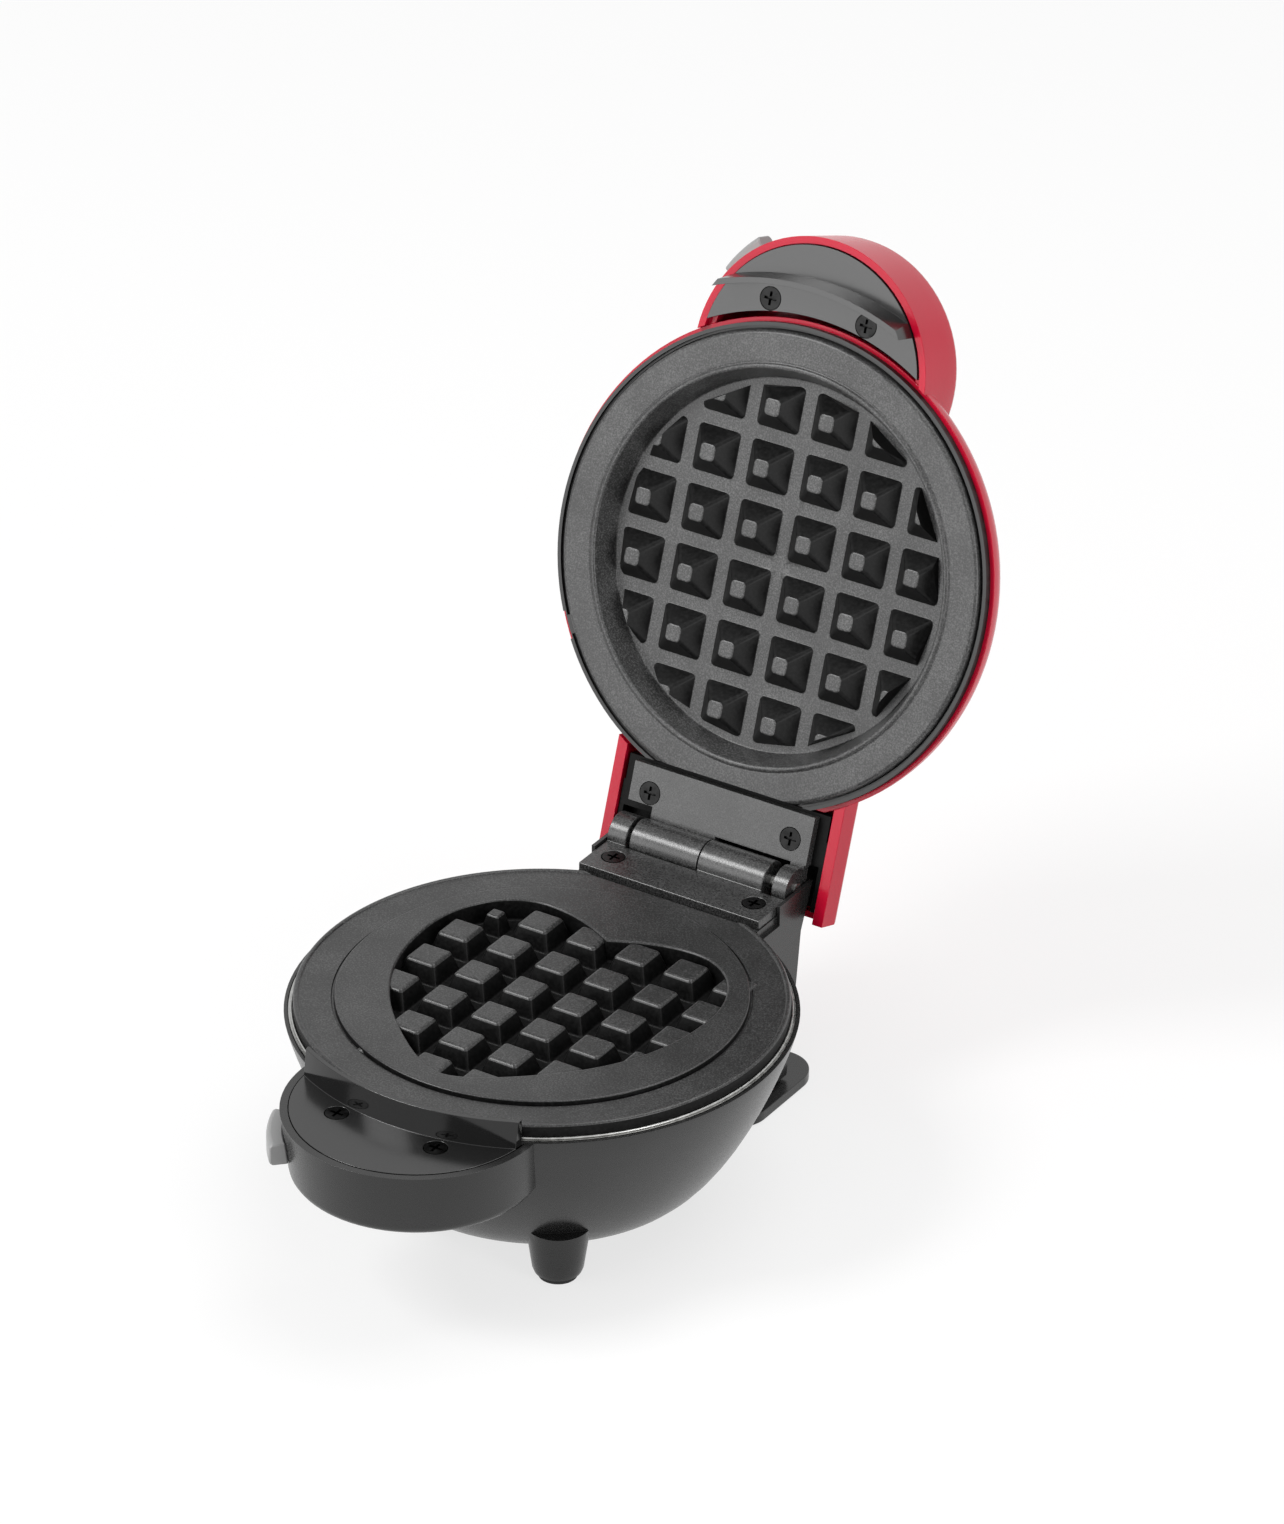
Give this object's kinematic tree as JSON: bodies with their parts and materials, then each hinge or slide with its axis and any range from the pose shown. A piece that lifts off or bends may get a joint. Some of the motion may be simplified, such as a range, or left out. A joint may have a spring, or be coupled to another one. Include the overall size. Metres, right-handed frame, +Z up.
{
  "type": "mini waffle maker",
  "caption": "Round clamshell mini waffle maker with a heart plate below, a square grid plate above, rounded handles and a rear hinge column.",
  "frame": {"origin": "centre of the open object's box, at the surface that it stands on", "axes": "+Z up, -Y towards the handles, the hinge axis along X"},
  "size_m": [0.1286, 0.241, 0.2088],
  "materials": {
    "charcoal_plastic": "satin",
    "red_plastic": "gloss",
    "panel_plastic": "fine texture",
    "liner_plastic": "satin",
    "tab_plastic": "satin",
    "coated_aluminium": "speckled non-stick coating",
    "bare_steel": "bright",
    "heater_steel": "dull",
    "dark_screw": "black oxide",
    "pad_rubber": "matt",
    "ivory_block": "matt",
    "fuse_brass": "bright",
    "wire_sleeve": "satin",
    "clear_lens": "clear",
    "lamp_glass": "clear"
  },
  "bodies": {
    "base": {"base_shell": "charcoal_plastic", "base_handle_panel": "panel_plastic", "heart_plate": "coated_aluminium", "base_heater": "heater_steel", "base_heat_shield": "bare_steel", "thermostat": "heater_steel", "thermal_fuse": "fuse_brass", "terminal_block": "ivory_block", "cord_bushing": "pad_rubber", "base_hinge_leaf": "coated_aluminium", "hinge_pin": "bare_steel", "front_foot_pads": "pad_rubber", "rear_foot": "charcoal_plastic", "rear_foot_pads": "pad_rubber", "rear_foot_screws": "bare_steel", "base_grip_tab": "tab_plastic", "base_panel_screws": "dark_screw", "base_leaf_screws": "bare_steel", "base_plate_screws": "bare_steel", "base_wiring": "wire_sleeve"},
    "lid": {"lid_cover": "red_plastic", "lid_liner": "liner_plastic", "lid_handle_panel": "panel_plastic", "grid_plate": "coated_aluminium", "lid_heater": "heater_steel", "lid_heat_shield": "bare_steel", "lid_hinge_leaf": "coated_aluminium", "lid_grip_tab": "tab_plastic", "indicator_lens": "clear_lens", "indicator_lamp": "lamp_glass", "lid_panel_screws": "dark_screw", "lid_leaf_screws": "bare_steel", "lid_plate_screws": "bare_steel", "lid_wiring": "wire_sleeve"}
  },
  "joints": [
    {"name": "lid_hinge", "type": "hinge", "parent": "base", "child": "lid", "pos_m": [0, 0.04667, 0.0557], "axis": [1, 0, 0], "range_deg": [0, 108.76]}
  ]
}
